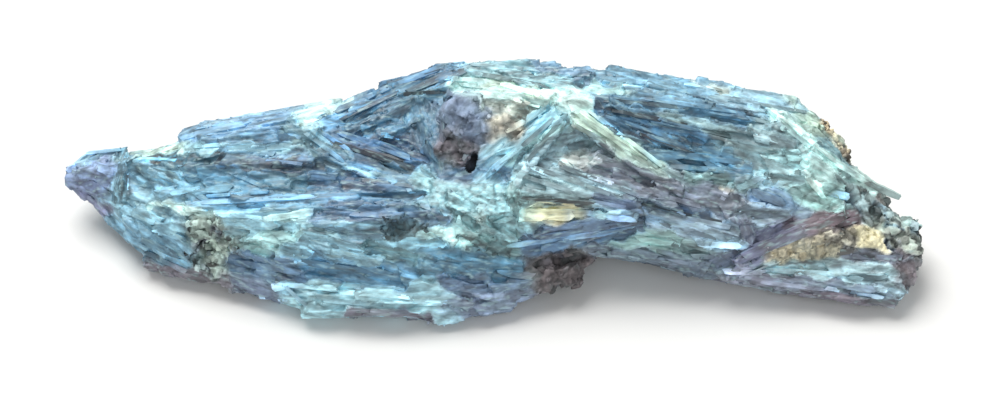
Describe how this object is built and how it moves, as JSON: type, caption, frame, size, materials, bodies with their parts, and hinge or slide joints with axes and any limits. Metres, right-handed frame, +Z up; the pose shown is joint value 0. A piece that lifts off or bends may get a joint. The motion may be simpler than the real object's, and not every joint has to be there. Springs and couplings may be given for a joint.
{
  "type": "kyanite blade cluster",
  "caption": "Long hand specimen of blue-grey kyanite blades grown together in one splintery mass, with a thin tip, rusty pockets and a crumbly end.",
  "frame": {"origin": "middle of the footprint's box, on the surface it rests on", "axes": "+X along the length, from the thin tip to the crumbly end; +Y to the back, away from the show face; +Z up"},
  "size_m": [0.15, 0.0462, 0.0314],
  "materials": {
    "kyanite": "bladed, vitreous to pearly, broken and partly iron-stained"
  },
  "bodies": {
    "root": {"kyanite_cluster": "kyanite"}
  },
  "joints": []
}
